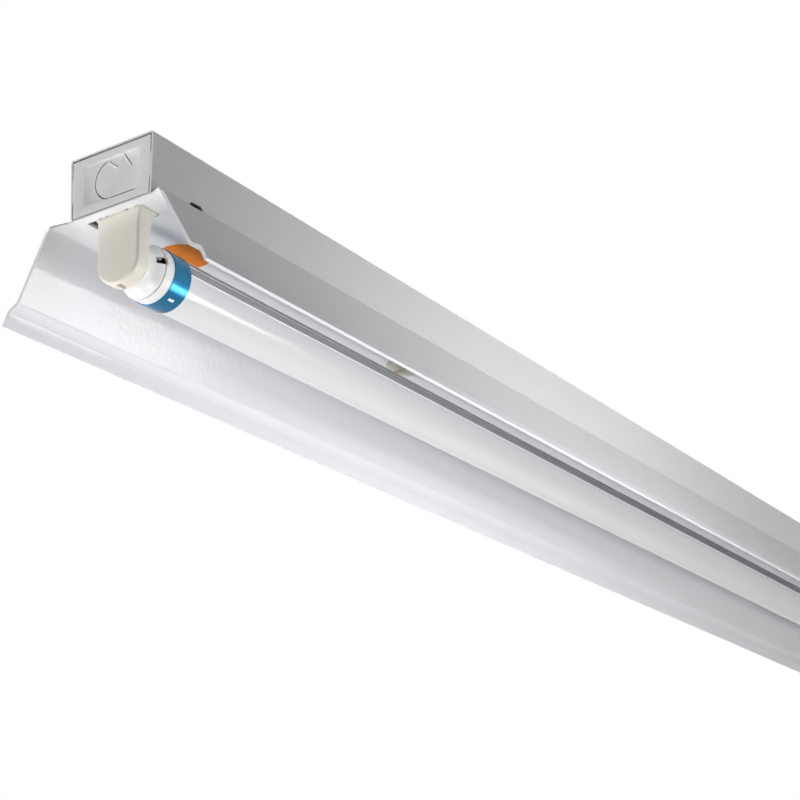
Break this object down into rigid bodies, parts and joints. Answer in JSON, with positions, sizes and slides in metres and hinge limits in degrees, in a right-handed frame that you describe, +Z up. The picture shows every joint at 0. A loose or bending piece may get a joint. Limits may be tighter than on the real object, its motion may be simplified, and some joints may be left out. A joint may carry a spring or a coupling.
{
  "type": "led tube light fixture",
  "caption": "Ceiling batten with a flared trough reflector, bi-pin lampholders and a straight tube lamp with a frosted underside and a metal back.",
  "frame": {"origin": "centre of the channel's mounting face, which lies against the ceiling", "axes": "+X along the lamp, from the end with the sticker to the other end; +Y across, towards the wider side of the lampholder cut-outs; +Z up into the ceiling"},
  "size_m": [1.2352, 0.116, 0.0738],
  "materials": {
    "white_paint": "white powder coat, satin",
    "white_gloss_paint": "white enamel, glossy with a slight orange peel",
    "bare_steel": "zinc plated, satin",
    "ivory_plastic": "ivory polycarbonate, satin",
    "white_plastic": "white moulded plastic, satin",
    "contact_brass": "clean",
    "brown_insulation": "soft insulation",
    "blue_insulation": "soft insulation",
    "green_insulation": "soft insulation",
    "orange_sticker": "plain printed film",
    "lamp_aluminium": "extruded, satin, finely fluted",
    "frosted_cover": "frosted polycarbonate",
    "white_cap": "white moulded plastic, glossy",
    "blue_ring": "anodised blue, satin",
    "light_board": "white solder resist",
    "light_chip": "clear moulding over phosphor",
    "driver_board": "green board with small parts"
  },
  "bodies": {
    "housing": {"channel_housing": "white_paint", "end_plate_near": "white_paint", "end_plate_far": "white_paint", "end_plate_rivets": "white_paint", "holder_bracket_near": "bare_steel", "holder_bracket_far": "bare_steel", "lampholder_body_near": "ivory_plastic", "lampholder_body_far": "ivory_plastic", "lampholder_contacts_near": "contact_brass", "lampholder_contacts_far": "contact_brass", "reflector": "white_gloss_paint", "latch_bridge_near": "bare_steel", "latch_bridge_far": "bare_steel", "terminal_block": "white_plastic", "terminal_screws": "contact_brass", "earth_stud": "contact_brass", "wire_live": "brown_insulation", "wire_neutral": "blue_insulation", "wire_earth": "green_insulation", "round_sticker": "orange_sticker"},
    "rotor_near": {"lampholder_rotor_near": "white_plastic"},
    "rotor_far": {"lampholder_rotor_far": "white_plastic"},
    "latch_near": {"latch_near": "ivory_plastic"},
    "latch_far": {"latch_far": "ivory_plastic"},
    "lamp": {"tube_heat_sink": "lamp_aluminium", "tube_diffuser": "frosted_cover", "tube_cap_near": "white_cap", "tube_cap_far": "white_cap", "tube_ring_near": "blue_ring", "tube_ring_far": "blue_ring", "tube_pins_near": "contact_brass", "tube_pins_far": "contact_brass", "tube_led_board": "light_board", "tube_leds": "light_chip", "tube_driver": "driver_board"}
  },
  "joints": [
    {"name": "lamp_twist", "type": "hinge", "parent": "housing", "child": "lamp", "pos_m": [0, 0, -0.0531], "axis": [1, 0, 0], "range_deg": [0, 90]},
    {"name": "rotor_near_turn", "type": "hinge", "parent": "housing", "child": "rotor_near", "pos_m": [-0.605, 0, -0.0531], "axis": [1, 0, 0], "range_deg": [0, 90]},
    {"name": "rotor_far_turn", "type": "hinge", "parent": "housing", "child": "rotor_far", "pos_m": [0.605, 0, -0.0531], "axis": [1, 0, 0], "range_deg": [0, 90]},
    {"name": "latch_near_turn", "type": "hinge", "parent": "housing", "child": "latch_near", "pos_m": [-0.381, 0, -0.0306], "axis": [0, 0, 1], "range_deg": [0, 90]},
    {"name": "latch_far_turn", "type": "hinge", "parent": "housing", "child": "latch_far", "pos_m": [0.381, 0, -0.0306], "axis": [0, 0, 1], "range_deg": [-90, 0]}
  ],
  "couplings": [
    {"joint": "rotor_near_turn", "follows": "lamp_twist", "ratio": 1},
    {"joint": "rotor_far_turn", "follows": "lamp_twist", "ratio": 1}
  ]
}
